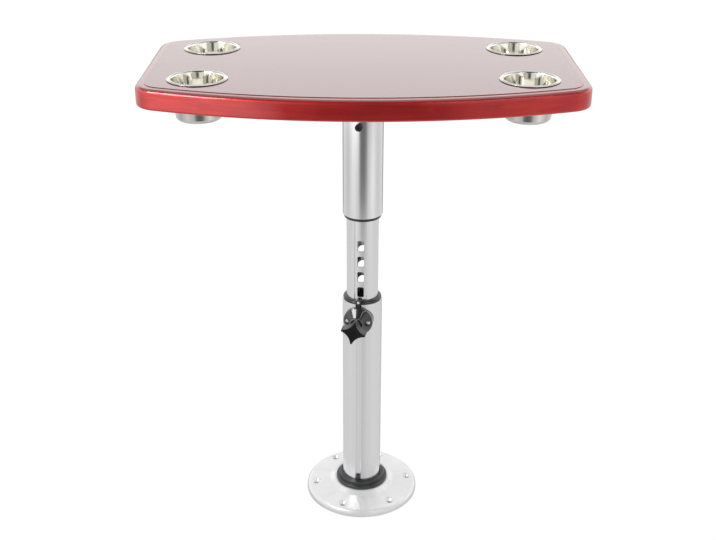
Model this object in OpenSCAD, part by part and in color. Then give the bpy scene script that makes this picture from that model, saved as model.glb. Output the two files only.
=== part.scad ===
// Telescoping pedestal table: a flanged foot with a grooved lower post, a slotted mast held at one of
// several heights by a screw-in latch, and a bowed table top with four cup holders that turns on the mast.
// Origin: on the floor, on the pedestal's axis. +Z up, +X along the table's long side, -Y is the front.

/* [Table top] */
// Length of the top along X
top_l = 597.5; // [560:2.5:760]
// Width of the top across its middle, along Y
top_w = 368; // [320:2:440]
// Thickness of the top at its field
top_t = 28.5; // [25:0.5:40]
// Radius of the two bowed long edges
bow_r = 830; // [700:10:1400]
// Radius of the four corners
corner_r = 38; // [25:1:60]
// Distance from the edge to the raised field
field_inset = 12; // [9:0.5:20]
// Height of the raised field above the ledge around it
field_rise = 1; // [0.5:0.1:2]
// Radius of the round-over at the upper edge
edge_round = 6; // [3:0.5:8]
// Radius of the round-over at the lower edge
edge_round_low = 3; // [1:0.5:5]
// Width of the shell's wall around the core board
rim_w = 8; // [6:0.5:14]
// Thickness of the core board
core_t = 19; // [17:0.5:20]

/* [Cup holders] */
// Distance of the cup centres from the top's straight ends
cup_end = 79.05; // [74:0.5:105]
// Distance of the cup centres from the middle of the nearer bowed edge, along Y
cup_side = 100.1; // [94:0.5:110]
// Diameter of a cup's rim
cup_rim_d = 81.4; // [78:0.2:90]
// Diameter of a cup's body under its rim
cup_d = 70; // [64:0.5:71.5]
// How much narrower the cup is at its floor
cup_taper = 8.4; // [0:0.2:9]
// Depth of a cup from its rim to its underside
cup_depth = 56.5; // [40:0.5:90]
// Thickness of the cup's steel
cup_wall = 0.9; // [0.6:0.1:1.5]
// Radius where the cup's wall meets its floor
cup_floor_round = 6; // [3:0.5:10]
// Radius of the flare at the cup's mouth
cup_lip = 2.6; // [2.5:0.1:4.5]
// Thickness of the gasket under a cup's rim
gasket_t = 0.8; // [0.5:0.1:2]

/* [Top bracket] */
// Diameter of the bracket's flange
bracket_d = 150; // [130:2:170]
// Thickness of the bracket's flange
bracket_t = 6; // [4:0.5:10]
// Metal over the mast's head, from the socket's ceiling to the table's underside
bracket_cap = 11; // [8:0.5:16]
// Depth of the socket that holds the sleeve
socket_depth = 27; // [20:1:36]
// Wall of the socket at its mouth
socket_wall = 5; // [4:0.5:8]
// Circle through the bracket's screws
bracket_pcd = 124; // [110:2:130]
// Number of screws that hold the bracket
bracket_screw_n = 6; // [4:1:8]
// Diameter of those screws
bracket_screw_d = 5; // [4:0.5:6]
// Length of those screws
bracket_screw_l = 20; // [14:1:22]
// Diameter of the grub screws that hold the sleeve in the socket
grub_d = 6; // [4:0.5:8]

/* [Upper sleeve] */
// Outer diameter of the sleeve
sleeve_d = 58.6; // [57:0.2:62]
// Wall of the sleeve
sleeve_wall = 3; // [2.4:0.1:3.4]
// Length of the sleeve
sleeve_length = 184; // [150:1:184]
// Chamfer at the sleeve's lower end
sleeve_chamfer = 0.8; // [0.4:0.1:1.2]
// Height of the black ring that shows under the sleeve
ring_h = 4.4; // [3:0.1:4.8]
// Outer diameter of that ring
ring_d = 55; // [53:0.2:57]
// Length of each bushing inside the sleeve
bushing_l = 30; // [20:1:34]
// Distance of the swivel screw below the bracket's socket
swivel_screw_drop = 17.4; // [12:0.2:40]
// Diameter of the swivel screw's head
lock_head_d = 10.5; // [8:0.5:14]
// How far that head stands out of the sleeve
lock_head_h = 4; // [2:0.5:8]
// Diameter of the swivel screw's shank
lock_shank_d = 6; // [4:0.5:7]

/* [Mast] */
// Outer diameter of the mast
mast_d = 47.6; // [46:0.1:48]
// Wall of the mast
mast_wall = 3.2; // [2.6:0.1:4]
// Length of the mast
mast_l = 515; // [480:1:516]
// Width of the channel down the front of the mast
channel_w = 18.6; // [17:0.2:22]
// Depth of that channel
channel_depth = 1.2; // [0.9:0.1:1.6]
// Number of height slots
slot_n = 9; // [6:1:9]
// Distance between height slots
slot_pitch = 25; // [24:0.5:26]
// Width of a height slot
slot_w = 10; // [9.8:0.1:12]
// Width of the wider, rounder slots behind them
rear_slot_w = 19; // [17:0.5:20]
// Height of a slot
slot_h = 17; // [12:0.5:18]
// Radius in the corners of a slot
slot_round = 2.5; // [1:0.25:4]
// Height of the uppermost slot above the mast's foot
slot_top_h = 293.3; // [285:0.5:300]
// Slot that the latch faces, counted from the uppermost
active_slot = 6; // [5:1:7]
// Turn of the mast about its axis, from the front
mast_turn = -7.5; // [-8:0.5:-7]
// Thickness of the head's flange on top of the mast
head_t = 5; // [3:0.5:8]
// Thickness of the thrust washer
washer_t = 2; // [1:0.5:3]
// Height of the guide around the mast's foot
foot_guide_h = 40; // [30:1:60]
// Thickness of the guide's floor under the mast
foot_floor = 4; // [3:0.5:8]

/* [Lower post] */
// Outer diameter of the post
post_d = 60.3; // [60:0.1:61]
// Wall of the post
post_wall = 4; // [3.6:0.1:4.4]
// Height of the post's upper end above the floor
post_top = 346; // [344:0.5:346.5]
// Width of the grooves at their floor
groove_w = 6.4; // [5:0.2:8]
// Width of the grooves at the post's surface
groove_mouth = 10; // [8.5:0.5:12]
// Depth of the grooves
groove_depth = 2.2; // [1.6:0.1:2.4]
// Turn of the post, its grooves and the latch about the axis, from the front
post_turn = -11.5; // [-12:0.5:-11]
// Diameter of the collar's flange
collar_d = 58; // [56:0.2:60]
// Height of the collar's flange
collar_h = 4.2; // [3.5:0.1:5]
// Height of the tab that stands on the collar's front
tab_h = 7; // [5:0.1:7.3]
// Length of the collar inside the post
collar_spigot = 18; // [10:1:20]
// Diameter of the rivet's head on the collar's tab
rivet_d = 4.2; // [3:0.2:5]

/* [Latch] */
// Height of the latch's axis above the floor
latch_z = 318.5; // [317:0.5:320]
// Diameter of the latch's saddle
saddle_d = 44.4; // [42:0.2:46]
// How far the saddle's centre is above the latch's axis
saddle_rise = 1.5; // [0:0.1:2]
// Distance of the saddle's rim from the pedestal's axis
saddle_reach = 33.5; // [32.5:0.5:35]
// Distance of the boss's end from the pedestal's axis
boss_reach = 46.5; // [45:0.5:47]
// Diameter of the boss
boss_d = 20; // [19:0.5:24]
// Distance between the latch's two screws
saddle_screw_gap = 32; // [30:0.5:33]
// Diameter of those screws
saddle_screw_d = 3.8; // [3:0.2:4.2]
// Diameter of their heads
saddle_head_d = 7; // [6:0.2:7.4]
// Diameter of the locking pin
pin_d = 6; // [5:0.1:6.2]
// How far the pin travels into a slot
pin_travel = 4.5; // [3:0.5:4.5]
// Diameter of the screw spindle
spindle_d = 10; // [9:0.5:11]
// Tip-to-tip width of the star knob
knob_d = 37.4; // [34:0.2:44]
// Width of the star knob between two facing scoops
knob_waist = 21; // [19:0.5:24]
// Radius of those scoops
knob_scoop_r = 22; // [20:1:30]
// Thickness of the star knob
knob_t = 15; // [10:0.5:16]
// Distance of the knob's face from the pedestal's axis when it is drawn out
knob_face = 71; // [69:0.5:74]
// Number of the knob's lobes
knob_lobes = 4; // [3:1:4]
// Turn of the knob about its own axis
knob_turn = -10; // [-45:1:45]

/* [Base] */
// Diameter of the base flange
base_d = 178; // [160:1:200]
// Thickness of the flange at its rim
base_rim = 3.5; // [2.5:0.5:5]
// Radius of the rounding between the rim and the flange's upper face
base_edge_r = 7.5; // [4:0.5:8.5]
// Height of the flange at its hub
base_hub_h = 18; // [16:0.5:24]
// Diameter of the hub's flat top
base_hub_d = 87; // [84:1:92]
// Circle through the base's screw holes
base_pcd = 148; // [136:1:152]
// Number of those holes
base_hole_n = 6; // [4:1:8]
// Diameter of those holes
base_hole_d = 7.2; // [5:0.1:8]
// Diameter of their countersinks
base_sink_d = 13.6; // [11:0.2:16]
// Turn of the hole pattern from +X
base_hole_turn = 6; // [0:1:60]
// Diameter of the black ring's lower step
base_ring_d = 82; // [78:1:83]
// Diameter of the ring's upper step
base_ring_step_d = 73; // [70:1:76]
// Height of the black ring above the hub
base_ring_h = 11; // [8:0.5:14]
// How far the ring's keys rise above it in the grooves
key_rise = 10; // [5:1:20]
// Wall of the ring's sleeve between post and hub
base_sleeve_wall = 2.8; // [2:0.2:4]
// Thickness of the plate under the post
foot_plate_t = 4; // [3:0.5:6]
// Diameter of the plate under the post
foot_plate_d = 88; // [87:0.5:90]
// Circle through the plate's screws
foot_pcd = 76; // [75:0.5:76.5]
// Diameter of the plate's screws
foot_screw_d = 5; // [4:0.5:5]
// Thickness of the rubber stop in the post's foot
bumper_t = 3; // [2:0.5:3.5]

/* [Clearances] */
// Gap between parts that move on each other
run_gap = 0.35; // [0.3:0.05:0.5]
// Gap between parts that are fixed to each other
fit_gap = 0.1; // [0.05:0.05:0.2]

/* [Hidden] */
$fn = 96;

// Radii
post_r = post_d / 2;
post_bore_r = post_r - post_wall;
mast_r = mast_d / 2;
mast_bore_r = mast_r - mast_wall;
channel_floor_r = mast_r - channel_depth;
sleeve_r = sleeve_d / 2;
sleeve_bore_r = sleeve_r - sleeve_wall;
guide_bore_r = mast_r + run_gap;
collar_r = collar_d / 2;
saddle_r = saddle_d / 2;
boss_r = boss_d / 2;
pin_r = pin_d / 2;
spindle_r = spindle_d / 2;

// Foot, from the floor up
foot_plate_z = 0.3;
post_foot_z = foot_plate_z + foot_plate_t;
foot_plug_h = 8;
bumper_z = post_foot_z + foot_plug_h;
base_bore_r = post_r + fit_gap + base_sleeve_wall + fit_gap;
ring_top_z = base_hub_h + base_ring_h;
key_gap = 0.8;
sink_h = (base_sink_d - base_hole_d) / 2;
sink_z = base_rim + base_edge_r - sink_h;
key_w = groove_w - 2 * key_gap;
groove_floor_r = post_r - groove_depth;
foot_screw_head_h = 2.2;
foot_screw_l = 11;

// Mast, placed by the slot that the latch faces, which rests on the pin
slot_drop = slot_h / 2 - pin_r - run_gap;
top_slot_z = latch_z - slot_drop + (active_slot - 1) * slot_pitch;
mast_foot_z = top_slot_z - slot_top_h;
mast_top_z = mast_foot_z + mast_l;
head_plug_h = 30;
washer_bore_r = 10;
washer_z = mast_top_z + head_t;
ceiling_z = washer_z + washer_t + run_gap;

// Sleeve and top, carried by the mast's head
sleeve_z = ceiling_z - sleeve_length;
socket_z = ceiling_z - socket_depth;
underside_z = ceiling_z + bracket_cap;
flange_z = underside_z - bracket_t;
field_z = underside_z + top_t;
lock_screw_z = socket_z - swivel_screw_drop;
upper_bushing_z = ceiling_z - bushing_l - head_t;
rim_z = field_z + gasket_t;
cup_x = top_l / 2 - cup_end;
cup_y = top_w / 2 - cup_side;
cup_r = cup_d / 2;
cup_rim_t = 1.3;
cup_hole_r = cup_r + 1.4;
cup_flare = cup_lip - cup_rim_t;
cup_floor_z = rim_z + cup_rim_t - cup_depth;
screw_sink_h = 3;
grub_h = grub_d / 2 + 3;
grub_turns = [30, 150, 270];
bracket_screw_turn = 30;

// Latch, measured outwards from the pedestal's axis
pin_tip_reach = mast_r + run_gap + 0.15;
pin_head_in = post_r + run_gap + pin_travel;
pin_head_out = pin_head_in + 4.5;
pin_head_r = spindle_r + 0.6;
stub_r = 3;
stub_in = pin_head_in + 1.2;
thread_in = pin_head_out + run_gap;
nut_in = thread_in + 0.2;
nut_r = spindle_r + 2.4;
knob_hub_r = 8;
knob_hub_back = boss_reach + pin_travel + 0.5;
knob_back = knob_face - knob_t;
knob_socket_end = knob_back + 4;
saddle_z = latch_z + saddle_rise;
saddle_screw_tip = post_bore_r - 4.8;
saddle_head_h = 2.4;
tab_reach = post_r + 1.6;
rivet_r = 1.5;
rivet_z = post_top + tab_h * 0.57;
tongue_foot_z = saddle_z + saddle_r - 6;

// Points of an arc about [x, y], from angle a to angle b
function arc(x, y, r, a, b, n = 8) = [for (i = [0:n]) [x + r * cos(a + (b - a) * i / n),
                                                       y + r * sin(a + (b - a) * i / n)]];

// One quarter of the top's outline, inset by d: a corner arc, then half of the bowed edge
corner_cx = top_l / 2 - corner_r;
bow_cy = top_w / 2 - bow_r;
corner_cy = bow_cy + sqrt(pow(bow_r - corner_r, 2) - pow(corner_cx, 2));
corner_end = atan2(corner_cy - bow_cy, corner_cx);
function quarter(d) = concat(arc(corner_cx, corner_cy, corner_r - d, 0, corner_end, 9),
                             [for (i = [1:14]) let (a = corner_end + (90 - corner_end) * i / 14)
                                 [(bow_r - d) * cos(a), bow_cy + (bow_r - d) * sin(a)]]);
function outline(d) = let (q = quarter(d), n = len(q) - 1)
    concat(q, [for (i = [n - 1:-1:0]) [-q[i][0], q[i][1]]],
           [for (i = [0:n]) [-q[i][0], -q[i][1]]], [for (i = [n - 1:-1:0]) [q[i][0], -q[i][1]]]);

// Edge profile of the top as [inset, height above the underside], from the underside to the field
ledge_h = top_t - field_rise;
edge_profile = concat(
    [for (t = [0:30:90]) [edge_round_low * (1 - sin(t)), edge_round_low * (1 - cos(t))]],
    [for (t = [0:18:90]) [edge_round * (1 - cos(t)), ledge_h - edge_round * (1 - sin(t))]],
    [[field_inset, ledge_h], [field_inset + field_rise * 0.4, top_t - field_rise * 0.3],
     [field_inset + field_rise * 0.8, top_t]]);

// A solid lofted through the outline at each step of the edge profile
module lofted_slab() {
    rings = len(edge_profile);
    count = len(outline(0));
    points = [for (p = edge_profile) for (q = outline(p[0])) [q[0], q[1], p[1]]];
    sides = [for (i = [0:rings - 2]) for (j = [0:count - 1])
        [i * count + j, (i + 1) * count + j, (i + 1) * count + (j + 1) % count, i * count + (j + 1) % count]];
    bottom = [for (j = [0:count - 1]) j];
    top = [for (j = [count - 1:-1:0]) (rings - 1) * count + j];
    polyhedron(points, concat(sides, [bottom, top]));
}

module tube(r_out, r_in, h) {
    difference() {
        cylinder(h = h, r = r_out);
        translate([0, 0, -1]) cylinder(h = h + 2, r = r_in);
    }
}

// Places children at a distance from the pedestal's axis, their own Z pointing outwards at a turn
module outwards(turn, reach, z) {
    rotate([0, 0, turn]) translate([0, -reach, z]) rotate([90, 0, 0]) children();
}

// Copies children at equal angles about Z
module ring_of(n, r, turn = 0) {
    for (i = [0:n - 1]) rotate([0, 0, turn + i * 360 / n]) translate([r, 0, 0]) children();
}

module at_cups() {
    for (x = [-cup_x, cup_x], y = [-cup_y, cup_y]) translate([x, y, 0]) children();
}

// ---- Base ----

module base_flange() {
    shoulder = 4;
    rim_r = base_d / 2;
    hub_r = base_hub_d / 2;
    foot_r = foot_plate_d / 2 + fit_gap;
    plate_top = post_foot_z + fit_gap;
    color("gainsboro") difference() {
        rotate_extrude() polygon(concat(
            [[base_bore_r, plate_top], [foot_r, plate_top], [foot_r, 0], [rim_r - 0.5, 0], [rim_r, 0.5]],
            arc(rim_r - base_edge_r, base_rim, base_edge_r, 0, 85, 9),
            [[hub_r + shoulder * 2, base_hub_h - shoulder]],
            arc(hub_r - 1, base_hub_h - 1.5, 1.5, 30, 90, 5),
            [[base_bore_r, base_hub_h]]));
        ring_of(base_hole_n, base_pcd / 2, base_hole_turn) {
            translate([0, 0, -1]) cylinder(h = base_hub_h + 2, r = base_hole_d / 2);
            translate([0, 0, sink_z]) cylinder(h = sink_h, r1 = base_hole_d / 2, r2 = base_sink_d / 2);
            translate([0, 0, sink_z + sink_h]) cylinder(h = base_hub_h, r = base_sink_d / 2);
        }
        ring_of(4, foot_pcd / 2, post_turn) translate([0, 0, 1])
            cylinder(h = foot_screw_l + 3, r = foot_screw_d / 2 + fit_gap);
    }
}

module base_bushing() {
    bore = post_r + fit_gap;
    low = 2.4;
    high = 3;
    step_z = base_hub_h + base_ring_h * 0.5;
    key_in = groove_floor_r + fit_gap;
    key_foot_z = post_foot_z + 2;
    color([0.1, 0.1, 0.1]) union() {
        rotate_extrude() polygon(concat(
            [[bore, post_foot_z], [base_bore_r - fit_gap, post_foot_z], [base_bore_r - fit_gap, base_hub_h],
             [base_ring_d / 2, base_hub_h]],
            arc(base_ring_d / 2 - low, step_z - low, low, 0, 90, 6),
            [[base_ring_step_d / 2, step_z]],
            arc(base_ring_step_d / 2 - high, ring_top_z - high, high, 0, 90, 6),
            [[bore, ring_top_z]]));
        rotate([0, 0, post_turn]) for (a = [0:90:270]) rotate([0, 0, a])
            translate([-key_w / 2, -bore - 0.4, key_foot_z])
                cube([key_w, bore + 0.4 - key_in, ring_top_z + key_rise - key_foot_z]);
    }
}

module foot_plate() {
    color("silver") difference() {
        union() {
            translate([0, 0, foot_plate_z]) cylinder(h = foot_plate_t, r = foot_plate_d / 2);
            translate([0, 0, post_foot_z]) cylinder(h = foot_plug_h, r = post_bore_r - fit_gap);
        }
        ring_of(4, foot_pcd / 2, post_turn) {
            cylinder(h = post_foot_z + 1, r = foot_screw_d / 2 + fit_gap);
            translate([0, 0, -1])
                cylinder(h = foot_plate_z + 1 + foot_screw_head_h, r = foot_screw_d);
        }
    }
}

module foot_screws() {
    color("lightgrey") ring_of(4, foot_pcd / 2, post_turn) {
        translate([0, 0, foot_plate_z]) cylinder(h = foot_screw_head_h, r = foot_screw_d - fit_gap);
        translate([0, 0, foot_plate_z]) cylinder(h = foot_screw_l + foot_screw_head_h, r = foot_screw_d / 2);
    }
}

module foot_bumper() {
    color([0.12, 0.12, 0.12]) translate([0, 0, bumper_z]) tube(post_bore_r - 1, 8, bumper_t);
}

// ---- Lower post ----

module post_section() {
    difference() {
        circle(r = post_r);
        circle(r = post_bore_r);
        for (a = [0:90:270]) rotate(post_turn + a) polygon([
            [-groove_w / 2, -groove_floor_r], [groove_w / 2, -groove_floor_r],
            [groove_w / 2, -groove_floor_r - groove_depth * 0.45], [groove_mouth / 2, -post_r],
            [groove_mouth / 2, -post_r - 1], [-groove_mouth / 2, -post_r - 1],
            [-groove_mouth / 2, -post_r], [-groove_w / 2, -groove_floor_r - groove_depth * 0.45]]);
    }
}

module lower_post() {
    color("silver") difference() {
        translate([0, 0, post_foot_z]) linear_extrude(height = post_top - post_foot_z) post_section();
        outwards(post_turn, post_bore_r - 4, latch_z) cylinder(h = post_wall + 6, r = pin_r + run_gap);
        for (s = [-1, 1]) outwards(post_turn, saddle_screw_tip - 1, saddle_z)
            translate([s * saddle_screw_gap / 2, 0, 0]) cylinder(h = 12, r = saddle_screw_d / 2 + fit_gap);
    }
}

module collar_guide() {
    edge = collar_h - 1;
    tab_w = 8;
    key_reach = channel_floor_r + run_gap;
    key_half = channel_w / 2 - run_gap;
    tongue_in = groove_floor_r + fit_gap;
    color([0.1, 0.1, 0.1]) difference() {
        union() {
            rotate_extrude() polygon(concat(
                [[guide_bore_r, post_top - collar_spigot], [post_bore_r - fit_gap, post_top - collar_spigot],
                 [post_bore_r - fit_gap, post_top], [collar_r, post_top]],
                arc(collar_r - edge, post_top + collar_h - edge, edge, 0, 90, 6),
                [[guide_bore_r, post_top + collar_h]]));
            rotate([0, 0, mast_turn]) intersection() {
                translate([-key_half, -guide_bore_r - 0.8, post_top - collar_spigot])
                    cube([2 * key_half, guide_bore_r, collar_spigot + collar_h]);
                translate([0, 0, post_top - collar_spigot])
                    tube(guide_bore_r + 0.6, key_reach, collar_spigot + collar_h);
            }
            rotate([0, 0, post_turn]) {
                translate([-key_w / 2, -tab_reach, tongue_foot_z])
                    cube([key_w, tab_reach - tongue_in, post_top - tongue_foot_z]);
                translate([-tab_w / 2, -tab_reach, post_top])
                    cube([tab_w, tab_reach - collar_r + 3, tab_h]);
            }
        }
        outwards(post_turn, tab_reach - 4, rivet_z) cylinder(h = 5, r = rivet_r + fit_gap);
    }
}

module collar_rivet() {
    color("silver") outwards(post_turn, tab_reach - 3.5, rivet_z) {
        cylinder(h = 3.5, r = rivet_r);
        translate([0, 0, 3.5]) cylinder(h = 1.1, r1 = rivet_d / 2, r2 = rivet_d / 2 - 0.7);
    }
}

// ---- Latch ----

module latch_housing() {
    dome_h = boss_reach - saddle_reach;
    saddle_back = post_r - 12;
    notch_half = key_w / 2 + fit_gap;
    color([0.08, 0.08, 0.08]) difference() {
        union() {
            outwards(post_turn, saddle_back, saddle_z)
                cylinder(h = saddle_reach - saddle_back, r = saddle_r);
            outwards(post_turn, saddle_reach, saddle_z)
                cylinder(h = 1.5, r1 = saddle_r, r2 = saddle_r - 1.5);
            outwards(post_turn, saddle_reach, latch_z) rotate_extrude() polygon(concat(
                [[0, 0], [saddle_r - saddle_rise - 1.2, 0], [saddle_r - saddle_rise - 1.8, 1.5]],
                [for (t = [0:15:90]) [boss_r + (saddle_r - saddle_rise - 3 - boss_r) * (1 - sin(t)),
                                      dome_h * (1 - cos(t)) * 0.72 + 2]],
                arc(boss_r - 1, dome_h - 1, 1, 0, 90, 4), [[0, dome_h]]));
        }
        translate([0, 0, latch_z - saddle_r - 5])
            cylinder(h = 2 * saddle_r + 12, r = post_r + fit_gap);
        outwards(post_turn, post_r - 8, latch_z) cylinder(h = nut_in - post_r + 8, r = pin_head_r + run_gap);
        outwards(post_turn, nut_in - 0.1, latch_z) cylinder(h = boss_reach - nut_in + 1, r = nut_r + fit_gap);
        for (s = [-1, 1]) outwards(post_turn, 0, saddle_z)
            translate([s * saddle_screw_gap / 2, 0, 0]) {
                translate([0, 0, 15]) cylinder(h = 40, r = saddle_screw_d / 2 + fit_gap);
                translate([0, 0, saddle_reach]) cylinder(h = 20, r = saddle_head_d / 2 + 0.6);
            }
        rotate([0, 0, post_turn]) translate([-notch_half, -tab_reach - fit_gap, tongue_foot_z - fit_gap])
            cube([2 * notch_half, 8, saddle_r]);
    }
}

module latch_screws() {
    color("silver") for (s = [-1, 1]) outwards(post_turn, saddle_screw_tip, saddle_z)
        translate([s * saddle_screw_gap / 2, 0, 0]) {
            cylinder(h = saddle_reach - saddle_screw_tip, r = saddle_screw_d / 2);
            translate([0, 0, saddle_reach - saddle_screw_tip])
                cylinder(h = saddle_head_h, r1 = saddle_head_d / 2, r2 = saddle_head_d / 2 - 0.9);
        }
}

module latch_nut() {
    color("goldenrod") outwards(post_turn, nut_in, latch_z)
        tube(nut_r, spindle_r + run_gap, boss_reach - nut_in);
}

module locking_pin() {
    color("lightgrey") difference() {
        union() {
            outwards(post_turn, pin_tip_reach, latch_z) cylinder(h = 1, r1 = pin_r - 0.8, r2 = pin_r);
            outwards(post_turn, pin_tip_reach + 1, latch_z)
                cylinder(h = pin_head_in - pin_tip_reach - 1, r = pin_r);
            outwards(post_turn, pin_head_in, latch_z)
                cylinder(h = pin_head_out - pin_head_in, r = pin_head_r);
        }
        outwards(post_turn, stub_in - run_gap, latch_z) cylinder(h = 10, r = stub_r + run_gap);
    }
}

module latch_spindle() {
    color("silver") union() {
        outwards(post_turn, stub_in, latch_z) cylinder(h = thread_in - stub_in, r = stub_r);
        outwards(post_turn, thread_in, latch_z) cylinder(h = knob_socket_end - thread_in, r = spindle_r);
    }
}

// Star with concave sides between its lobes, its whole edge moved in by inset
module star(inset) {
    difference() {
        circle(r = knob_d / 2 - inset);
        for (i = [0:knob_lobes - 1]) rotate(45 + i * 360 / knob_lobes)
            translate([knob_waist / 2 + knob_scoop_r, 0]) circle(r = knob_scoop_r + inset);
    }
}

module star_knob() {
    bevel = 1;
    color([0.06, 0.06, 0.06]) outwards(post_turn, 0, latch_z) rotate([0, 0, knob_turn]) difference() {
        union() {
            translate([0, 0, knob_hub_back]) cylinder(h = knob_back - knob_hub_back + 1, r = knob_hub_r);
            translate([0, 0, knob_back]) linear_extrude(height = knob_t - bevel) star(0);
            translate([0, 0, knob_face - bevel]) linear_extrude(height = bevel) star(bevel);
        }
        translate([0, 0, knob_hub_back - 1])
            cylinder(h = knob_socket_end + fit_gap - knob_hub_back + 1, r = spindle_r + fit_gap);
    }
}

// ---- Mast ----

// A slot with rounded corners
module slot_shape(width, corner, deep) {
    linear_extrude(height = deep) union() {
        square([width - 2 * corner, slot_h], center = true);
        square([width, slot_h - 2 * corner], center = true);
        for (x = [-1, 1], y = [-1, 1])
            translate([x * (width / 2 - corner), y * (slot_h / 2 - corner)]) circle(r = corner);
    }
}

module mast() {
    deep = mast_wall + 6;
    color("lightgrey") difference() {
        translate([0, 0, mast_foot_z]) linear_extrude(height = mast_l) difference() {
            circle(r = mast_r);
            circle(r = mast_bore_r);
            rotate(mast_turn) translate([0, -mast_r]) difference() {
                square([channel_w, 2 * mast_r * 0.5], center = true);
                translate([0, mast_r]) circle(r = channel_floor_r);
            }
        }
        for (i = [0:slot_n - 1]) {
            outwards(mast_turn, mast_bore_r - 4, top_slot_z - i * slot_pitch)
                slot_shape(slot_w, slot_round, deep);
            outwards(mast_turn + 180, mast_bore_r - 4, top_slot_z - i * slot_pitch)
                slot_shape(rear_slot_w, slot_h / 2 - 1.5, deep);
        }
        for (a = [90, 270]) outwards(mast_turn + a, mast_bore_r - 2, mast_foot_z + foot_guide_h / 2)
            cylinder(h = mast_wall + 4, r = 2 + fit_gap);
    }
}

module mast_foot_guide() {
    color([0.15, 0.15, 0.15]) difference() {
        translate([0, 0, mast_foot_z - foot_floor])
            cylinder(h = foot_guide_h + foot_floor, r = post_bore_r - run_gap);
        translate([0, 0, mast_foot_z]) cylinder(h = foot_guide_h + 1, r = mast_r + fit_gap);
        translate([0, 0, mast_foot_z - foot_floor - 1]) cylinder(h = foot_floor + 2, r = mast_bore_r - 4);
        for (a = [90, 270]) outwards(mast_turn + a, mast_r - 2, mast_foot_z + foot_guide_h / 2)
            cylinder(h = 8, r = 2 + fit_gap);
    }
}

module foot_guide_screws() {
    color("grey") for (a = [90, 270]) outwards(mast_turn + a, mast_bore_r, mast_foot_z + foot_guide_h / 2)
        cylinder(h = post_bore_r - run_gap - 0.4 - mast_bore_r, r = 2);
}

module mast_head() {
    color([0.15, 0.15, 0.15]) difference() {
        union() {
            translate([0, 0, mast_top_z - head_plug_h]) cylinder(h = head_plug_h, r = mast_bore_r - fit_gap);
            translate([0, 0, mast_top_z]) cylinder(h = head_t, r = mast_r);
        }
        translate([0, 0, mast_top_z - head_plug_h - 1]) cylinder(h = head_plug_h - 3, r = mast_bore_r - 5);
    }
}

module thrust_washer() {
    color("beige") translate([0, 0, washer_z]) tube(mast_r - 0.4, washer_bore_r, washer_t);
}

// ---- Sleeve ----

module upper_sleeve() {
    color("gainsboro") difference() {
        rotate_extrude() polygon([
            [sleeve_bore_r, sleeve_z], [sleeve_r - sleeve_chamfer, sleeve_z],
            [sleeve_r, sleeve_z + sleeve_chamfer], [sleeve_r, ceiling_z], [sleeve_bore_r, ceiling_z]]);
        outwards(post_turn, sleeve_bore_r - 3, lock_screw_z)
            cylinder(h = sleeve_wall + 6, r = lock_shank_d / 2 + fit_gap);
    }
}

module lower_sleeve_bushing() {
    edge = 1;
    color([0.1, 0.1, 0.1]) rotate_extrude() polygon(concat(
        [[guide_bore_r, sleeve_z - ring_h]],
        arc(ring_d / 2 - edge, sleeve_z - ring_h + edge, edge, -90, 0, 4),
        [[ring_d / 2, sleeve_z], [sleeve_bore_r - fit_gap, sleeve_z],
         [sleeve_bore_r - fit_gap, sleeve_z + bushing_l], [guide_bore_r, sleeve_z + bushing_l]]));
}

module upper_sleeve_bushing() {
    color([0.15, 0.15, 0.15]) translate([0, 0, upper_bushing_z])
        tube(sleeve_bore_r - fit_gap, guide_bore_r, bushing_l);
}

module swivel_screw() {
    socket_d = 4;
    color([0.1, 0.1, 0.1]) difference() {
        union() {
            outwards(post_turn, mast_r + run_gap, lock_screw_z)
                cylinder(h = sleeve_r - mast_r - run_gap + 0.5, r = lock_shank_d / 2);
            outwards(post_turn, sleeve_r + fit_gap, lock_screw_z)
                cylinder(h = lock_head_h, r = lock_head_d / 2);
        }
        outwards(post_turn, sleeve_r + lock_head_h - 2, lock_screw_z)
            cylinder(h = 3, r = socket_d / 2, $fn = 6);
    }
}

// ---- Top ----

module top_bracket() {
    hub_r = sleeve_r + fit_gap + socket_wall;
    flare = 12;
    bore = sleeve_r + fit_gap;
    color("silver") difference() {
        rotate_extrude() polygon(concat(
            [[0, underside_z], [0, ceiling_z], [bore, ceiling_z], [bore, socket_z], [hub_r - 1, socket_z],
             [hub_r, socket_z + 1]],
            arc(hub_r + flare, flange_z - flare, flare, 180, 90, 8),
            [[bracket_d / 2 - 1, flange_z], [bracket_d / 2, flange_z + 1], [bracket_d / 2, underside_z]]));
        ring_of(bracket_screw_n, bracket_pcd / 2, bracket_screw_turn) {
            translate([0, 0, flange_z - 1])
                cylinder(h = bracket_t + 2, r = bracket_screw_d / 2 + fit_gap);
            translate([0, 0, flange_z - 2])
                cylinder(h = 2 + screw_sink_h, r = bracket_screw_d + fit_gap);
        }
        for (a = grub_turns) outwards(a, sleeve_r - 1, socket_z + grub_h)
            cylinder(h = 14, r = grub_d / 2 + fit_gap);
    }
}

module socket_grub_screws() {
    color([0.1, 0.1, 0.1]) for (a = grub_turns) outwards(a, sleeve_r + fit_gap, socket_z + grub_h)
        difference() {
            cylinder(h = socket_wall, r = grub_d / 2);
            translate([0, 0, socket_wall - 2]) cylinder(h = 3, r = grub_d / 4, $fn = 6);
        }
}

module bracket_screws() {
    color("silver") ring_of(bracket_screw_n, bracket_pcd / 2, bracket_screw_turn) {
        translate([0, 0, flange_z]) cylinder(h = screw_sink_h, r = bracket_screw_d);
        translate([0, 0, flange_z]) cylinder(h = bracket_screw_l, r = bracket_screw_d / 2);
    }
}

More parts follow.
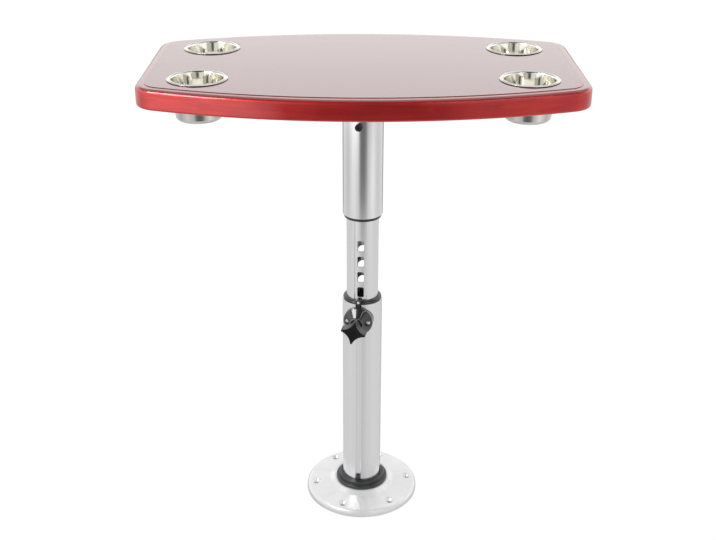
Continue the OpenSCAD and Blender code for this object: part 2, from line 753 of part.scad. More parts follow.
module core_board() {
    color("burlywood") difference() {
        translate([0, 0, underside_z]) linear_extrude(height = core_t) polygon(outline(rim_w + fit_gap));
        at_cups() translate([0, 0, underside_z - 1]) cylinder(h = core_t + 2, r = cup_hole_r);
        ring_of(bracket_screw_n, bracket_pcd / 2, bracket_screw_turn)
            translate([0, 0, underside_z - 1])
                cylinder(h = bracket_screw_l - bracket_t + 1.5, r = bracket_screw_d / 2 + fit_gap);
    }
}

module table_top() {
    color([0.62, 0.1, 0.12]) difference() {
        translate([0, 0, underside_z]) lofted_slab();
        translate([0, 0, underside_z - 1]) linear_extrude(height = core_t + 1)
            polygon(outline(rim_w));
        at_cups() translate([0, 0, underside_z]) cylinder(h = top_t + 1, r = cup_hole_r);
    }
}

// A pressed cup: rolled rim, slightly tapered wall, rounded floor
module cup() {
    top_z = rim_z + cup_rim_t;
    floor_r = cup_r - cup_taper / 2;
    outer = cup_floor_round;
    inner = cup_floor_round - cup_wall;
    color("silver") rotate_extrude() polygon(concat(
        [[0, cup_floor_z]],
        arc(floor_r - outer, cup_floor_z + outer, outer, -90, 0, 6),
        arc(cup_r + cup_flare, rim_z - cup_flare, cup_flare, 180, 90, 5),
        [[cup_rim_d / 2 - 0.4, rim_z]],
        arc(cup_rim_d / 2 - cup_rim_t / 2, rim_z + cup_rim_t / 2, cup_rim_t / 2, -60, 90, 5),
        arc(cup_r - cup_wall + cup_lip, top_z - cup_lip, cup_lip, 90, 180, 5),
        arc(floor_r - outer, cup_floor_z + outer, inner, 0, -90, 6),
        [[0, cup_floor_z + cup_wall]]));
}

module cup_at(x, y) {
    translate([x, y, 0]) cup();
}

module cup_gaskets() {
    color([0.1, 0.1, 0.1]) at_cups() translate([0, 0, field_z])
        tube(cup_rim_d / 2 - 1.2, cup_r + cup_flare + 0.2, gasket_t);
}

base_flange();
base_bushing();
foot_plate();
foot_screws();
foot_bumper();
lower_post();
collar_guide();
collar_rivet();
latch_housing();
latch_screws();
latch_nut();
locking_pin();
latch_spindle();
star_knob();
mast();
mast_foot_guide();
foot_guide_screws();
mast_head();
thrust_washer();
upper_sleeve();
lower_sleeve_bushing();
upper_sleeve_bushing();
swivel_screw();
top_bracket();
socket_grub_screws();
bracket_screws();
core_board();
table_top();
cup_at(-cup_x, -cup_y);  // cup_front_left
cup_at(cup_x, -cup_y);  // cup_front_right
cup_at(-cup_x, cup_y);  // cup_rear_left
cup_at(cup_x, cup_y);  // cup_rear_right
cup_gaskets();
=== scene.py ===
"""Telescoping pedestal table.

A bow-fronted red top with four cup holders, a slotted mast, a latch and a flanged foot.
"""

import logging
import math
from dataclasses import dataclass, field
from enum import Enum
from typing import Callable, Sequence

import bpy
from mathutils import Matrix, Vector


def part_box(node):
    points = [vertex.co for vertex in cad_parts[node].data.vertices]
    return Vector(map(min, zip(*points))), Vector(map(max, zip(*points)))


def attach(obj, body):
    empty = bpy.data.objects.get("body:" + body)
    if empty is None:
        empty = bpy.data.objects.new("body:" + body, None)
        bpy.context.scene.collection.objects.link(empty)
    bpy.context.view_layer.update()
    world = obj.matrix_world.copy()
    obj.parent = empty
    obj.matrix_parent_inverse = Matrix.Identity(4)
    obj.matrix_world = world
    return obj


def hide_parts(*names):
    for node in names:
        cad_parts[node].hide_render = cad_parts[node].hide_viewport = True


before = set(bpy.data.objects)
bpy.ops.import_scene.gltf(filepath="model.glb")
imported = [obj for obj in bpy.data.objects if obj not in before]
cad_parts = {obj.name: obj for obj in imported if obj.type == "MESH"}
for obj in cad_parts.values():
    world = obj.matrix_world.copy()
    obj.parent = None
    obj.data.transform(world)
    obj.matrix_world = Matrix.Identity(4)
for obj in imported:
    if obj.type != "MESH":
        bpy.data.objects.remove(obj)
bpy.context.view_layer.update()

logging.basicConfig(level=logging.INFO, format="%(name)s: %(message)s")
LOG = logging.getLogger("pedestal_table")

MM = 0.001
NEAR = 0.01 * MM
NOISE_BAND = (0.35, 0.65)
Point2 = tuple[float, float]
Point3 = tuple[float, float, float]
Color = tuple[float, float, float]
Step = tuple[float, float, float, float]
Piece = bpy.types.Object
Socket = bpy.types.NodeSocket
Tree = bpy.types.NodeTree
Test = Callable[[Vector], bool]


class Body(Enum):
    """The bodies that new pieces ride on."""

    PEDESTAL = "pedestal"
    KNOB = "knob"
    TABLE = "table"


class Cutting(Enum):
    """How one piece changes another."""

    CUT = "DIFFERENCE"
    ADD = "UNION"


# --- modelling moves


def clear() -> None:
    """Leave edit mode and deselect every object."""
    if bpy.context.object is not None and bpy.context.object.mode != "OBJECT":
        bpy.ops.object.mode_set(mode="OBJECT")
    bpy.ops.object.select_all(action="DESELECT")


def activate(piece: Piece) -> None:
    """Make a piece the only selected and the active object.

    Args:
        piece: The object to work on.
    """
    clear()
    piece.select_set(True)
    bpy.context.view_layer.objects.active = piece


def select_mesh() -> None:
    """Select the whole mesh in edit mode."""
    bpy.ops.mesh.select_all(action="SELECT")


def weld(gap: float) -> None:
    """Merge the mesh's corners that are closer than a gap."""
    select_mesh()
    bpy.ops.mesh.remove_doubles(threshold=gap)


def start_line(name: str, at: Point3) -> Piece:
    """Start a line from a plane that is merged to a single vertex.

    Args:
        name: Name of the new piece.
        at: Where the vertex goes.

    Returns:
        The new object, in edit mode with its vertex selected.
    """
    clear()
    bpy.ops.mesh.primitive_plane_add(size=MM, location=(0, 0, 0))
    piece = bpy.context.object
    piece.name = piece.data.name = name
    bpy.ops.object.mode_set(mode="EDIT")
    bpy.ops.mesh.select_mode(type="VERT")
    select_mesh()
    bpy.ops.mesh.merge(type="CENTER")
    select_mesh()
    bpy.ops.transform.translate(value=at)
    return piece


def draw_by(step: Point3) -> None:
    """Extrude the line's selected end by a step."""
    bpy.ops.mesh.extrude_vertices_move(TRANSFORM_OT_translate={"value": step})


def draw_arc(center: Point3, degrees: float, steps: int) -> None:
    """Spin the line's selected end round a centre, counterclockwise from above."""
    bpy.ops.mesh.spin(steps=steps, angle=-math.radians(degrees), center=center, axis=(0, 0, 1),
                      dupli=False, use_auto_merge=False)


def raise_faces(height: float) -> None:
    """Extrude the selected faces along Z."""
    bpy.ops.mesh.extrude_region_move(TRANSFORM_OT_translate={"value": (0, 0, height)})


def fill_plate(thickness: float) -> None:
    """Close the drawn outline, fill it and pull it up to a plate.

    Args:
        thickness: Height of the plate along Z.
    """
    weld(2 * NEAR)
    select_mesh()
    bpy.ops.mesh.edge_face_add()
    raise_faces(thickness)
    select_mesh()
    bpy.ops.mesh.normals_make_consistent(inside=False)


def above(height: float) -> Test:
    """Test for corners at or above a height."""
    return lambda corner: corner.z > height - NEAR


def below(height: float) -> Test:
    """Test for corners at or below a height."""
    return lambda corner: corner.z < height + NEAR


def pick(piece: Piece, kind: str, test: Test) -> None:
    """Select only the edges or faces whose every corner passes a test.

    Args:
        piece: The object in edit mode.
        kind: EDGE or FACE.
        test: Says whether a corner's place counts.
    """
    bpy.ops.mesh.select_mode(type=kind)
    bpy.ops.mesh.select_all(action="DESELECT")
    bpy.ops.object.mode_set(mode="OBJECT")
    mesh = piece.data
    passed = [test(v.co) for v in mesh.vertices]
    for item in mesh.edges if kind == "EDGE" else mesh.polygons:
        item.select = all(passed[corner] for corner in item.vertices)
    bpy.ops.object.mode_set(mode="EDIT")


def round_edges(piece: Piece, test: Test, radius: float, segments: int) -> None:
    """Bevel, to a radius, the edges whose both ends pass a test."""
    pick(piece, "EDGE", test)
    bpy.ops.mesh.bevel(offset=radius, offset_type="OFFSET", segments=segments, profile=0.5,
                       affect="EDGES", clamp_overlap=False)


def revolve(name: str, profile: Sequence[Point2], facets: int) -> Piece:
    """Draw a closed profile of (radius, height) points and spin it about Z.

    Args:
        name: Name of the new piece.
        profile: The points, in order round the section.
        facets: Number of facets round the axis.

    Returns:
        The turned piece, in object mode.
    """
    gap = 0.002 * MM
    last = profile[0]
    piece = start_line(name, (last[0], 0, last[1]))
    for point in [*profile[1:], profile[0]]:
        draw_by((point[0] - last[0], 0, point[1] - last[1]))
        last = point
    weld(gap)
    select_mesh()
    bpy.ops.mesh.spin(steps=facets, angle=2 * math.pi, center=(0, 0, 0), axis=(0, 0, 1))
    weld(gap)
    bpy.ops.mesh.delete_loose()
    select_mesh()
    bpy.ops.mesh.dissolve_degenerate(threshold=gap / 2)
    select_mesh()
    bpy.ops.mesh.normals_make_consistent(inside=False)
    bpy.ops.object.mode_set(mode="OBJECT")
    return piece


def settle(name: str) -> Piece:
    """Name the primitive that was just added, and apply its place to its mesh.

    Args:
        name: Its name.

    Returns:
        The object.
    """
    piece = bpy.context.object
    piece.name = name
    bpy.ops.object.transform_apply(location=True, rotation=True, scale=True)
    return piece


def block(name: str, low: Point3, high: Point3) -> Piece:
    """Add a box between two corners, for a key or cutter.

    Args:
        name: Name of the box.
        low: Its lowest corner.
        high: Its highest corner.

    Returns:
        The box, in object mode.
    """
    clear()
    size = [h - l for l, h in zip(low, high)]
    middle = [(h + l) / 2 for l, h in zip(low, high)]
    bpy.ops.mesh.primitive_cube_add(size=1, location=middle, scale=size)
    return settle(name)


def rod(name: str, radius: float, low: float, high: float, at: Point2 = (0, 0),
        sides: int = 64) -> Piece:
    """Add an upright rod, for a hub or cutter.

    Args:
        name: Name of the rod.
        radius: Its radius.
        low: Height of its lower end.
        high: Height of its upper end.
        at: Its place in X and Y.
        sides: Number of sides.

    Returns:
        The rod, in object mode.
    """
    clear()
    bpy.ops.mesh.primitive_cylinder_add(vertices=sides, radius=radius, depth=high - low,
                                        location=(*at, (low + high) / 2))
    return settle(name)


def place(piece: Piece, matrix: Matrix) -> Piece:
    """Move a piece's mesh by a matrix and leave its object at the origin.

    Args:
        piece: The piece to move.
        matrix: Where it goes.

    Returns:
        The same piece.
    """
    activate(piece)
    piece.matrix_world = matrix
    bpy.ops.object.transform_apply(location=True, rotation=True, scale=True)
    return piece


def modify(piece: Piece, kind: str, **settings: object) -> None:
    """Add a modifier and apply it.

    Args:
        piece: The piece that it changes.
        kind: Its type.
        settings: Its options.
    """
    activate(piece)
    modifier = piece.modifiers.new("modify", kind)
    for key, value in settings.items():
        setattr(modifier, key, value)
    bpy.ops.object.modifier_apply(modifier=modifier.name)


def combine(piece: Piece, tools: Sequence[Piece], how: Cutting) -> None:
    """Cut tools out of a piece, or add them to it, and delete them.

    Args:
        piece: The piece that stays.
        tools: The pieces that are used up.
        how: Whether they are cut out or added.
    """
    for tool in tools:
        modify(piece, "BOOLEAN", operation=how.value, solver="EXACT", object=tool)
        bpy.data.objects.remove(tool)


def polish(piece: Piece, bevel: float = 0.0, angle: float = 30.0) -> Piece:
    """Bevel the sharp edges, smooth by angle and weight the normals.

    Args:
        piece: The piece to finish.
        bevel: Width of the small bevel, or 0 for none.
        angle: Angle in degrees above which an edge counts as sharp.

    Returns:
        The same piece.
    """
    sharp = math.radians(angle)
    if bevel:
        modify(piece, "BEVEL", width=bevel, segments=2, limit_method="ANGLE", angle_limit=sharp,
               use_clamp_overlap=True)
    activate(piece)
    bpy.ops.object.shade_smooth_by_angle(angle=sharp)
    modify(piece, "WEIGHTED_NORMAL", keep_sharp=True)
    clear()
    return piece


def rounded(corners: Sequence[Point3], segments: int) -> list[Point2]:
    """Round the corners of an open path.

    Args:
        corners: (x, y, radius) of each corner, in order.
        segments: Number of edges in each arc.

    Returns:
        The points of the path.
    """
    points: list[Point2] = []
    for i, (x, y, radius) in enumerate(corners):
        if radius == 0 or i in (0, len(corners) - 1):
            points.append((x, y))
            continue
        before, here, after = (Vector(corner[:2]) for corner in corners[i - 1:i + 2])
        back, ahead = (before - here).normalized(), (after - here).normalized()
        half = math.acos(max(-1.0, min(1.0, back.dot(ahead)))) / 2
        reach = radius / math.tan(half)
        center = here + (back + ahead).normalized() * radius / math.sin(half)
        first, last = here + back * reach - center, here + ahead * reach - center
        sweep = math.copysign(math.pi - 2 * half, first.x * last.y - first.y * last.x)
        for k in range(segments + 1):
            spoke = Matrix.Rotation(sweep * k / segments, 2) @ first
            points.append(tuple(center + spoke))
    return points


def turned(degrees: float) -> Matrix:
    """Matrix that turns a piece about Z."""
    return Matrix.Rotation(math.radians(degrees), 4, "Z")


def outward(turn: float, reach: float, height: float, spin: float = 0.0) -> Matrix:
    """Matrix that stands a piece, drawn along +Z, outwards from the pedestal's axis.

    Args:
        turn: Direction in degrees, from -Y, counterclockwise seen from above.
        reach: Distance of the piece's own zero from the axis.
        height: Height above the floor.
        spin: Turn in degrees about the piece's own Z.

    Returns:
        The matrix.
    """
    tip_over = Matrix.Rotation(math.radians(90), 4, "X")
    return turned(turn) @ Matrix.Translation((0, -reach, height)) @ tip_over @ turned(spin)


# --- finishes


class NodeBoard:
    """Adds and links nodes in one node tree."""

    def __init__(self, tree: Tree) -> None:
        """Start on an empty tree."""
        self.tree = tree
        tree.nodes.clear()

    def add(self, kind: str, settings: dict[str, object] | None = None,
            **inputs: object) -> bpy.types.Node:
        """Add a node.

        Args:
            kind: The node's type name, without ShaderNode where it starts so.
            settings: Its own options.
            inputs: Values or sockets for its inputs, by name with _ for a space, or i_ and a number.

        Returns:
            The new node.
        """
        node = self.tree.nodes.new(kind if kind.startswith("NodeGroup") else "ShaderNode" + kind)
        for key, value in (settings or {}).items():
            setattr(node, key, value)
        for key, value in inputs.items():
            target = node.inputs[int(key[2:]) if key.startswith("i_") else key.replace("_", " ")]
            if isinstance(value, Socket):
                self.tree.links.new(value, target)
            else:
                target.default_value = (*value, 1) if target.type == "RGBA" else value
        return node

    def spot(self) -> Socket:
        """Give the object coordinates."""
        return self.add("TexCoord").outputs["Object"]

    def parts(self, vector: Socket) -> list[Socket]:
        """Give a vector's X, Y and Z."""
        return list(self.add("SeparateXYZ", Vector=vector).outputs)

    def math(self, operation: str, a: object, b: object = 0.0) -> Socket:
        """Add a Math node on two values or sockets."""
        return self.add("Math", {"operation": operation}, i_0=a, i_1=b).outputs[0]

    def times(self, a: object, b: object) -> Socket:
        """Multiply two values or sockets."""
        return self.math("MULTIPLY", a, b)

    def spread(self, value: Socket, low: float, high: float, to_low: float, to_high: float,
               kind: str = "SMOOTHSTEP") -> Socket:
        """Map the range from low to high to another, clamped, by a smooth or a LINEAR step."""
        return self.add("MapRange", {"interpolation_type": kind, "clamp": True}, Value=value, From_Min=low,
                        From_Max=high, To_Min=to_low, To_Max=to_high).outputs["Result"]

    def noise(self, where: Socket, scale: object, detail: float, **more: object) -> Socket:
        """Add a noise texture."""
        return self.add("TexNoise", Vector=where, Scale=scale, Detail=detail, **more).outputs["Fac"]

    def rays(self) -> tuple[Socket, Socket]:
        """Tell the camera's rays, and those that gloss or glass sends on."""
        path = self.add("LightPath").outputs
        return path["Is Camera Ray"], self.math("MAXIMUM", path["Is Glossy Ray"], path["Is Transmission Ray"])

    def blend(self, share: object, a: object, b: object) -> Socket:
        """Mix two colours or sockets, where share is how much of b there is."""
        return self.add("Mix", {"data_type": "RGBA"}, i_0=share, i_6=a, i_7=b).outputs[2]

    def mix(self, share: object, a: object, b: object) -> Socket:
        """Mix two numbers or sockets, where share is how much of b there is."""
        return self.add("Mix", {"data_type": "FLOAT"}, i_0=share, i_2=a, i_3=b).outputs[0]

    def bump(self, height: Socket, strength: float, depth: float) -> Socket:
        """Turn a height into a normal."""
        return self.add("Bump", Strength=strength, Distance=depth, Height=height).outputs["Normal"]

    def circle(self, x: Socket, y: Socket, size: object) -> list[Socket]:
        """Give the place on a circle of some size that lies in the direction of x and y."""
        around = self.math("ARCTAN2", x, y)
        return [self.times(self.math(kind, around), size) for kind in ("SINE", "COSINE")]


class Effect:
    """A shared surface effect: a node group that puts out a Tone and a Height."""

    def __init__(self, name: str, **inputs: float) -> None:
        """Make the empty group.

        Args:
            name: Name of the group.
            inputs: Its float inputs and their usual values.
        """
        self.tree = bpy.data.node_groups.new(name, "ShaderNodeTree")
        for key, value in inputs.items():
            self.socket(key, "INPUT").default_value = value
        for key in ("Tone", "Height"):
            self.socket(key, "OUTPUT")
        self.board = NodeBoard(self.tree)
        self.given = self.board.add("NodeGroupInput").outputs

    def socket(self, name: str, way: str) -> bpy.types.NodeTreeInterfaceSocket:
        """Add a float socket to the group."""
        return self.tree.interface.new_socket(name=name, in_out=way, socket_type="NodeSocketFloat")

    def close(self, tone: Socket, height: Socket) -> Tree:
        """Put out where the surface is lighter and its small relief, and give the group."""
        self.board.add("NodeGroupOutput", Tone=tone, Height=height)
        return self.tree


def drawn_lines() -> Tree:
    """Fine lines along Z, as a drawing die leaves them on a tube.

    Returns:
        The effect's group.
    """
    effect = Effect("drawn_lines", Lines=60.0, Waver=6.0)
    board = effect.board
    x, y, z = board.parts(board.spot())
    ring_x, ring_y = board.circle(x, y, effect.given["Lines"])
    along = board.times(z, effect.given["Waver"])
    where = board.add("CombineXYZ", X=ring_x, Y=ring_y, Z=along).outputs[0]
    return effect.close(board.noise(where, 0.12, 2.0), board.noise(where, 1.0, 3.0))


def fine_grain() -> Tree:
    """Moulded or cast surface: a soft cloudiness and a fine grain.

    Returns:
        The effect's group.
    """
    effect = Effect("fine_grain", Cloud=40.0, Grain=1800.0)
    board, spot = effect.board, effect.board.spot()
    return effect.close(board.noise(spot, effect.given["Cloud"], 3.0),
                        board.noise(spot, effect.given["Grain"], 2.0))


def turned_rings() -> Tree:
    """Fine rings about Z, as a lathe leaves them, and broad soft spokes of painted sheen: light and dark
    wedges in the colour that stand in for the turned face's reflection.

    Returns:
        The effect's group.
    """
    effect = Effect("turned_rings", Rings=900.0, SheenSpokes=3.0)
    board = effect.board
    x, y, z = board.parts(board.spot())
    radius = board.math("SQRT", board.math("ADD", board.times(x, x), board.times(y, y)))
    ring = board.add("CombineXYZ", X=board.times(radius, effect.given["Rings"]), Y=0.0, Z=z).outputs[0]
    # The spokes are painted sheen: they lighten and darken the colour in wedges round the axis.
    sheen_x, sheen_y = board.circle(x, y, effect.given["SheenSpokes"])
    spoke = board.add("CombineXYZ", X=sheen_x, Y=sheen_y, Z=0.0).outputs[0]
    return effect.close(board.noise(spoke, 1.0, 2.0), board.noise(ring, 1.0, 2.0))


EFFECTS = {make.__name__: make() for make in (drawn_lines, fine_grain, turned_rings)}


@dataclass(frozen=True)
class Surface:
    """A named material for one slot, between a light and a dark tone."""

    name: str
    slot: str
    light: Color
    dark: Color

    def paint(self, board: NodeBoard) -> dict[str, object]:
        """Add the surface's nodes and give the shader's inputs."""
        raise NotImplementedError

    def build(self) -> bpy.types.Material:
        """Make the material.

        Returns:
            The material, named for the surface.
        """
        material = bpy.data.materials.new(self.name)
        material.use_nodes = True
        board = NodeBoard(material.node_tree)
        shader = board.add("BsdfPrincipled", **self.paint(board))
        board.add("OutputMaterial", Surface=shader.outputs["BSDF"])
        return material


@dataclass(frozen=True)
class Finish(Surface):
    """A surface that one shared effect varies, with its gloss and its bump."""

    roughness: Point2 = (0.4, 0.5)
    effect: str = "fine_grain"
    scales: Point2 = (120.0, 2500.0)
    metallic: float = 0.0
    bump: float = 0.1
    bump_depth: float = 0.00005
    coat: float = 0.0
    coat_roughness: float = 0.05
    specular: float = 0.5

    def paint(self, board: NodeBoard) -> dict[str, object]:
        """Vary colour and roughness by the effect's tone, and bump by its height.

        Args:
            board: Where the nodes go.

        Returns:
            The shader's inputs.
        """
        group = board.add("Group", {"node_tree": EFFECTS[self.effect]})
        for socket, value in zip(group.inputs, self.scales):
            socket.default_value = value
        smoothest, roughest = self.roughness
        tone = board.spread(group.outputs["Tone"], *NOISE_BAND, 0.0, 1.0)
        rough = board.spread(group.outputs["Tone"], *NOISE_BAND, roughest, smoothest)
        return {"Base_Color": board.blend(tone, self.dark, self.light), "Roughness": rough,
                "Metallic": self.metallic, "Specular_IOR_Level": self.specular, "Coat_Weight": self.coat,
                "Coat_Roughness": self.coat_roughness,
                "Normal": board.bump(group.outputs["Height"], self.bump, self.bump_depth)}


@dataclass(frozen=True)
class RedGloss(Surface):
    """Red lacquer that glows on the edge, under a coat that is glassier on the ledge and field; the ledge and
    field get darker reds as painted shade.
    """

    # The ledge and field reds are darker copies of the edge's red: painted shade on the faces that look up.
    field_light: Color = (0.150, 0.009, 0.008)
    field_dark: Color = (0.142, 0.007, 0.007)
    ledge_light: Color = (0.25, 0.014, 0.013)
    ledge_dark: Color = (0.21, 0.010, 0.011)
    on_ledge: Step = (0.7015, 0.7052, 0.0, 1.0)
    on_field: Step = (0.7061, 0.7068, 0.0, 1.0)
    streaks: Point3 = (9.0, 60.0, 160.0)
    streak_share: float = 0.6
    cloud_scale: float = 22.0
    tone_band: Point2 = (0.38, 0.62)
    glow: float = 0.85
    roughness: float = 0.38
    edge_coat: float = 0.8
    # How far the coat thins at the step between ledge and field: a painted shade line.
    step_shade_depth: float = 2.8
    coat_roughness: float = 0.02
    coat_ior: float = 1.6
    specular: float = 0.1
    ripple_scale: float = 30.0
    ripple: Point2 = (0.03, 0.0004)

    def paint(self, board: NodeBoard) -> dict[str, object]:
        """Tell edge, ledge and field apart by height, give the ledge and field darker reds as painted shade,
        and paint a shade line at the step between the last two by thinning the coat.

        Args:
            board: Where the nodes go.

        Returns:
            The shader's inputs.
        """
        spot = board.spot()
        height = board.parts(spot)[2]
        on_ledge = board.spread(height, *self.on_ledge)
        on_field = board.spread(height, *self.on_field)
        long = board.add("Mapping", Vector=spot, Scale=self.streaks).outputs[0]
        streaks = board.times(board.noise(long, 1.0, 4.0, Roughness=0.6), self.streak_share)
        clouds = board.times(board.noise(spot, self.cloud_scale, 2.0), 1.0 - self.streak_share)
        tone = board.spread(board.math("ADD", streaks, clouds), *self.tone_band, 0.0, 1.0)
        edge = board.blend(tone, self.dark, self.light)
        ledge = board.blend(tone, self.ledge_dark, self.ledge_light)
        top = board.blend(tone, self.field_dark, self.field_light)
        # Painted shade line where the ledge steps up to the field: the coat thins there.
        step_shade = board.times(on_field, board.math("SUBTRACT", 1.0, on_field))
        glaze = board.spread(on_ledge, 0.0, 1.0, self.edge_coat, 1.0, "LINEAR")
        return {"Base_Color": board.blend(on_field, board.blend(on_ledge, edge, ledge), top),
                "Roughness": self.roughness, "Specular_IOR_Level": self.specular,
                "Metallic": board.spread(on_ledge, 0.0, 1.0, self.glow, 0.0, "LINEAR"),
                "Coat_Weight": board.math("SUBTRACT", glaze, board.times(step_shade, self.step_shade_depth)),
                "Coat_Roughness": self.coat_roughness, "Coat_IOR": self.coat_ior,
                "Normal": board.bump(board.noise(spot, self.ripple_scale, 1.0), *self.ripple)}


@dataclass(frozen=True)
class Plywood(Surface):
    """Sealed plywood: long grain on its faces and plies on its edges."""

    grain: Point3 = (6.0, 90.0, 320.0)
    tone_band: Point2 = (0.35, 0.68)
    roughness: float = 0.55
    sealer: float = 0.25
    relief: Point2 = (0.15, 0.0003)

    def paint(self, board: NodeBoard) -> dict[str, object]:
        """Stretch a noise to grain, for the colour and the bump.

        Args:
            board: Where the nodes go.

        Returns:
            The shader's inputs.
        """
        long = board.add("Mapping", Vector=board.spot(), Scale=self.grain).outputs[0]
        grain = board.noise(long, 1.0, 5.0, Distortion=0.6)
        tone = board.spread(grain, *self.tone_band, 0.0, 1.0)
        return {"Base_Color": board.blend(tone, self.dark, self.light), "Roughness": self.roughness,
                "Coat_Weight": self.sealer, "Coat_Roughness": self.sealer,
                "Normal": board.bump(grain, *self.relief)}


# A finish's roughness stays wholly on one side of about 0.27, where a denoised surface would show a line.
SURFACES = [
    RedGloss("red_gloss", "red_gloss", (0.66, 0.038, 0.032), (0.55, 0.024, 0.027)),
    Plywood("plywood", "plywood", (0.62, 0.42, 0.22), (0.40, 0.24, 0.11)),
    # The turned_rings spokes paint light and dark wedges of sheen into this finish's colour.
    Finish("turned_aluminium", "polished_aluminium", (0.89, 0.89, 0.895), (0.84, 0.84, 0.845), (0.29, 0.34),
           "turned_rings", (1400.0, 2.2), metallic=0.28, bump=0.0),
    Finish("polished_tube", "polished_aluminium", (0.88, 0.88, 0.89), (0.86, 0.86, 0.87), (0.16, 0.20),
           "drawn_lines", (70.0, 3.0), metallic=1.0, bump=0.03, bump_depth=0.00004),
    Finish("anodised_tube", "satin_aluminium", (0.85, 0.85, 0.86), (0.83, 0.83, 0.84), (0.25, 0.27),
           "drawn_lines", (90.0, 3.0), metallic=1.0, bump=0.012),
    Finish("pressed_steel", "polished_steel", (0.85, 0.84, 0.80), (0.83, 0.82, 0.77), (0.04, 0.06),
           scales=(18.0, 700.0), metallic=1.0, bump=0.0),
    # A darker, rougher copy of the cup steel for the outer wall under the table top: painted shade, with a
    # real rougher finish.
    Finish("outer_steel_painted_shade", "polished_steel", (0.70, 0.69, 0.66), (0.64, 0.63, 0.60), (0.06, 0.1),
           scales=(18.0, 700.0), metallic=1.0, bump=0.03, bump_depth=0.00004),
    # A darker copy of the cup steel for the rim's top: painted shade that dims the rim.
    Finish("rim_steel_painted_shade", "polished_steel", (0.54, 0.535, 0.515), (0.50, 0.495, 0.475), (0.18, 0.24),
           scales=(18.0, 700.0), metallic=1.0, bump=0.04, bump_depth=0.00004),
    Finish("screw_steel", "screw_steel", (0.78,) * 3, (0.62,) * 3, (0.28, 0.36), metallic=1.0),
    # A lighter, half-metallic copy of the screw steel: painted light, so that the saddle screws and the
    # collar rivet read bright.
    Finish("screw_steel_painted_light", "screw_steel", (0.95,) * 3, (0.88,) * 3, (0.3, 0.4), metallic=0.5),
    Finish("brass", "brass", (0.46, 0.35, 0.19), (0.32, 0.23, 0.12), (0.28, 0.4), scales=(150.0, 2500.0),
           metallic=1.0),
    Finish("black_screw", "black_steel", (0.045, 0.045, 0.048), (0.022, 0.022, 0.024), (0.3, 0.45),
           scales=(200.0, 3000.0), metallic=0.6, bump=0.15),
    Finish("satin_nylon", "black_bushing", (0.050, 0.051, 0.053), (0.028, 0.028, 0.030), (0.22, 0.265),
           scales=(60.0, 2600.0), bump=0.12, bump_depth=0.00006),
    Finish("gloss_black", "black_gloss", (0.030, 0.030, 0.031), (0.022, 0.022, 0.023), (0.2, 0.26),
           scales=(30.0, 900.0), bump=0.04, coat=1.0, coat_roughness=0.04, specular=0.3),
    Finish("grained_black", "black_knob", (0.030, 0.030, 0.032), (0.018, 0.018, 0.019), (0.285, 0.35),
           scales=(50.0, 1500.0), bump=0.2, bump_depth=0.00008),
    Finish("matt_black", "black_knob", (0.014, 0.014, 0.015), (0.010, 0.010, 0.011), (0.58, 0.66),
           scales=(50.0, 1500.0), bump=0.35, bump_depth=0.0001, specular=0.12),
    Finish("natural_nylon", "pale_nylon", (0.82, 0.79, 0.70), (0.72, 0.68, 0.58), scales=(60.0, 2000.0),
           bump_depth=0.0002),
    Finish("soft_rubber", "black_rubber", (0.040, 0.040, 0.042), (0.022, 0.022, 0.023), (0.65, 0.8),
           scales=(80.0, 2400.0), bump=0.3, bump_depth=0.0001),
]


class Wardrobe:
    """Holds every finish and dresses pieces and CAD nodes with them."""

    def __init__(self) -> None:
        """Build all the materials."""
        self.slots = {surface.name: surface.slot for surface in SURFACES}
        self.materials = {surface.name: surface.build() for surface in SURFACES}

    def dress(self, piece: Piece, finish: str) -> None:
        """Give a piece one finish all over.

        Args:
            piece: A new piece or a CAD node's object.
            finish: Name of the finish.
        """
        if not piece.data.materials:
            piece.data.materials.append(self.materials[finish])
        for slot in piece.material_slots:
            slot.material = self.materials[finish]

    def dress_part(self, piece: Piece, finish: str, test: Callable[[bpy.types.MeshPolygon], bool]) -> None:
        """Give the faces that pass a test another finish.

        Args:
            piece: A piece that already has its first finish.
            finish: Name of the other finish.
            test: Says whether a face gets it.
        """
        piece.data.materials.append(self.materials[finish])
        for polygon in piece.data.polygons:
            if test(polygon):
                polygon.material_index = len(piece.data.materials) - 1

    def hand_over(self, piece: Piece, finish: str, body: Body, node: str) -> None:
        """Dress a new piece, let it ride and stand for a CAD node, and report it.

        Args:
            piece: The finished piece.
            finish: Name of its finish.
            body: The body that it rides on.
            node: The CAD node that it stands for.
        """
        self.dress(piece, finish)
        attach(piece, body.value)
        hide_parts(node)
        LOG.info("%s: %d faces, %s, on %s", piece.name, len(piece.data.polygons), finish, body.value)


# --- the table's top


